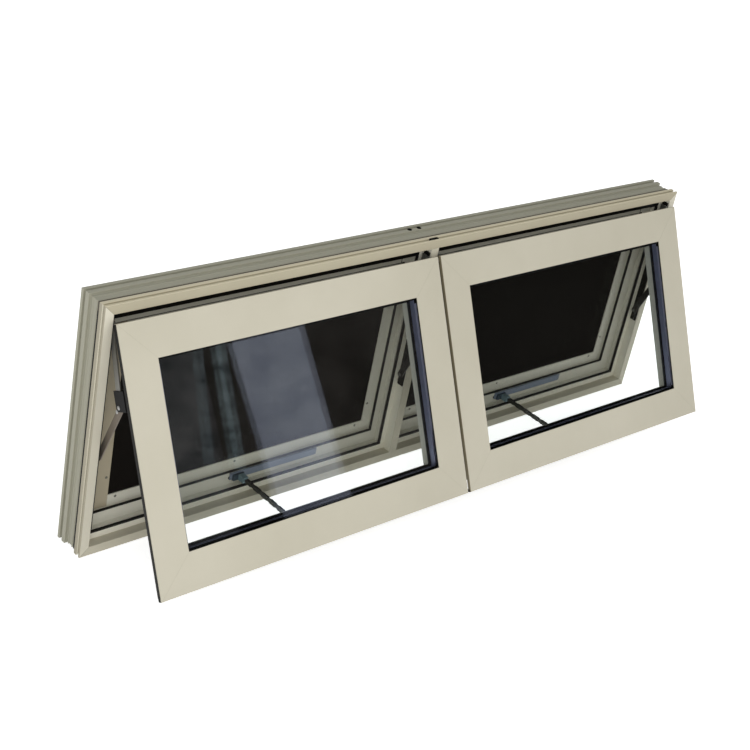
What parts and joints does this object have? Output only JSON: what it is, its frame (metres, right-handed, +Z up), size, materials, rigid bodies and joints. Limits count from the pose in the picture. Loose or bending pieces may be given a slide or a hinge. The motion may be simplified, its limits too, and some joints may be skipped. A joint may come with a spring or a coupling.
{
  "type": "top hung awning window",
  "caption": "Wide aluminium window with top-hung sashes side by side, held open on friction stays and chain winders, with sealed glass units and insect screens.",
  "frame": {"origin": "centre of the underside of the sill's rear bearing rib, which the window stands on", "axes": "+X to the right as seen from outdoors, +Y from the outdoor face into the building, +Z up"},
  "size_m": [1.5, 0.3301, 0.5],
  "materials": {
    "powder_coat": "matt pale stone powder coat on aluminium",
    "thermal_bar": "matt black glass-filled polyamide",
    "seal_rubber": "matt black rubber",
    "screen_paint": "matt pale grey coat",
    "screen_mesh": "black coated glass-fibre mesh",
    "glass": "clear float glass",
    "spacer_metal": "dull mill-finish aluminium",
    "stay_steel": "brushed stainless steel",
    "black_plastic": "matt black plastic",
    "winder_grey": "satin blue-grey coat",
    "winder_chain": "dull dark steel",
    "handle_paint": "satin pale grey coat"
  },
  "bodies": {
    "root": {"frame_thermal_break": "thermal_bar", "head_inner": "powder_coat", "head_outer": "powder_coat", "left_frame_seals": "seal_rubber", "left_glass_panes": "glass", "left_glass_spacer": "spacer_metal", "left_glazing_beads": "powder_coat", "left_glazing_seals": "seal_rubber", "left_jamb_inner": "powder_coat", "left_jamb_outer": "powder_coat", "left_sash_bottom_rail": "powder_coat", "left_sash_left_stile": "powder_coat", "left_sash_right_stile": "powder_coat", "left_sash_top_rail": "powder_coat", "left_screen_frame": "screen_paint", "left_screen_mesh": "screen_mesh", "left_stay_blocks": "black_plastic", "left_stays": "stay_steel", "left_winder_chain": "winder_chain", "left_winder_guide": "black_plastic", "left_winder_handle": "handle_paint", "left_winder_plate": "winder_grey", "mullion_inner": "powder_coat", "mullion_outer": "powder_coat", "right_frame_seals": "seal_rubber", "right_glass_panes": "glass", "right_glass_spacer": "spacer_metal", "right_glazing_beads": "powder_coat", "right_glazing_seals": "seal_rubber", "right_jamb_inner": "powder_coat", "right_jamb_outer": "powder_coat", "right_sash_bottom_rail": "powder_coat", "right_sash_left_stile": "powder_coat", "right_sash_right_stile": "powder_coat", "right_sash_top_rail": "powder_coat", "right_screen_frame": "screen_paint", "right_screen_mesh": "screen_mesh", "right_stay_blocks": "black_plastic", "right_stays": "stay_steel", "right_winder_chain": "winder_chain", "right_winder_guide": "black_plastic", "right_winder_handle": "handle_paint", "right_winder_plate": "winder_grey", "sill_inner": "powder_coat", "sill_outer": "powder_coat"}
  },
  "joints": []
}
